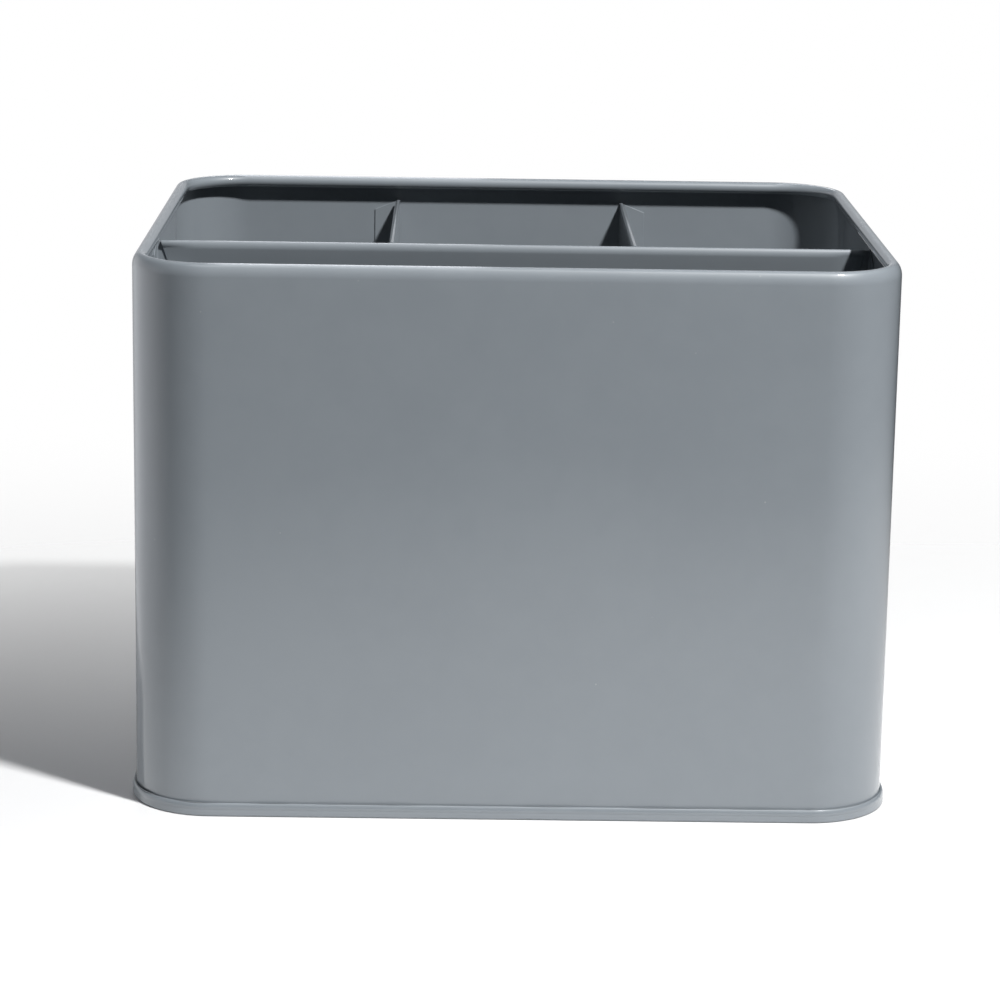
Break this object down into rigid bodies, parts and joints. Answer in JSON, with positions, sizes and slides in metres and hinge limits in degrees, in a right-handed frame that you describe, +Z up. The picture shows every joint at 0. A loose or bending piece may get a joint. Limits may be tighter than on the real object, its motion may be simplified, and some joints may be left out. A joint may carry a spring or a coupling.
{
  "type": "cutlery holder",
  "caption": "Open-topped lacquered sheet-steel cutlery holder with rounded corners, a rolled rim, a wide front compartment and narrower cells behind it.",
  "frame": {"origin": "on the surface that the holder stands on, under the middle of its footprint", "axes": "+X to the right along the wide front, +Y from the front compartment to the rear cells, +Z up through the open top"},
  "size_m": [0.182, 0.152, 0.132],
  "materials": {
    "grey_lacquer": "smooth glossy blue-grey lacquer on sheet steel, inside and out"
  },
  "bodies": {
    "root": {"body_wrap": "grey_lacquer", "base_plate": "grey_lacquer", "long_divider": "grey_lacquer", "left_cross_divider": "grey_lacquer", "right_cross_divider": "grey_lacquer"}
  },
  "joints": []
}
